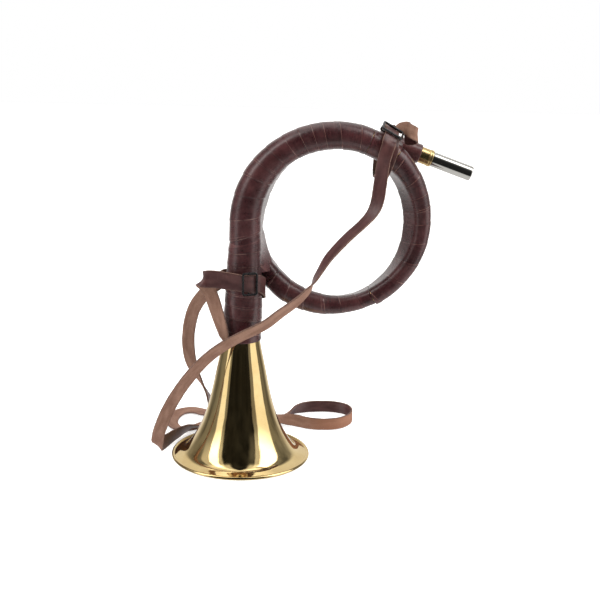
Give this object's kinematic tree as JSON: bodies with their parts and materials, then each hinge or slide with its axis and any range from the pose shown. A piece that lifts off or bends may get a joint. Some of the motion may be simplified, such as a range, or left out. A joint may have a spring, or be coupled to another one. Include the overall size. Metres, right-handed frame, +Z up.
{
  "type": "hunting horn",
  "caption": "Coiled brass hunting horn bound in leather, with a flared bell standing on its rim, a reed mouthpiece and a leather shoulder strap held by slides.",
  "frame": {"origin": "centre of the bell rim, in the plane the rim stands on", "axes": "+Z up along the bell, +X from the bell towards the mouthpiece, +Y to the back, away from the slide on the bell branch"},
  "size_m": [0.2591, 0.162, 0.2803],
  "materials": {
    "polished_brass": "polished and lacquered",
    "raw_brass": "drawn, unpolished",
    "reed_brass": "rolled spring brass",
    "iron_wire": "drawn wire",
    "nickel": "polished nickel plate",
    "black_steel": "black japanned wire",
    "wrap_leather": "smooth burgundy brown, semi gloss",
    "strap_leather": "brown grain side, tan flesh side, pale raw edges",
    "cork": "waxed cork"
  },
  "bodies": {
    "horn": {"bell": "polished_brass", "rim_wire": "iron_wire", "bell_ferrule": "raw_brass", "bell_branch": "raw_brass", "branch_ferrule": "raw_brass", "coil_front_tube": "raw_brass", "coil_ferrule": "raw_brass", "coil_rear_tube": "raw_brass", "mouthpipe_ferrule": "raw_brass", "mouthpipe": "raw_brass", "coil_stays": "raw_brass", "wrap_bell_branch": "wrap_leather", "wrap_left_bundle": "wrap_leather", "wrap_right_bundle": "wrap_leather", "wrap_lower_bundle": "wrap_leather", "crossing_patch": "wrap_leather", "top_patch": "wrap_leather", "mouthpipe_cuff": "wrap_leather", "mouthpiece_receiver": "polished_brass", "shoulder_strap": "strap_leather"},
    "shank": {"mouthpiece_tenon": "nickel", "tenon_seal": "cork", "reed_plug": "raw_brass", "reed_shallot": "raw_brass", "reed_wedge": "raw_brass"},
    "barrel": {"mouthpiece_barrel": "nickel"},
    "tongue": {"reed_tongue": "reed_brass"},
    "lower_slide": {"lower_slide_frame": "black_steel", "lower_slide_bar": "black_steel"},
    "upper_slide": {"upper_slide_frame": "black_steel", "upper_slide_bar": "black_steel"}
  },
  "joints": [
    {"name": "mouthpiece_pull", "type": "slide", "parent": "horn", "child": "shank", "axis": [0.9421, 0, -0.3355], "range_m": [0, 0.018]},
    {"name": "barrel_turn", "type": "hinge", "parent": "shank", "child": "barrel", "pos_m": [0.16359, 0.0274, 0.2429], "axis": [0.9421, 0, -0.3355], "continuous": true},
    {"name": "reed_flex", "type": "hinge", "parent": "shank", "child": "tongue", "pos_m": [0.15229, 0.02808, 0.24692], "axis": [-0.3355, 0, -0.9421], "range_deg": [-0.4, 1.4]},
    {"name": "lower_slide_shift", "type": "hinge", "parent": "horn", "child": "lower_slide", "pos_m": [0.0016, 0, 0.1515], "axis": [0, 0, 1], "range_deg": [-8, 8]},
    {"name": "upper_slide_shift", "type": "hinge", "parent": "horn", "child": "upper_slide", "pos_m": [0.10967, 0.009, 0.25952], "axis": [0.866, 0, -0.5], "range_deg": [-5, 8]}
  ]
}
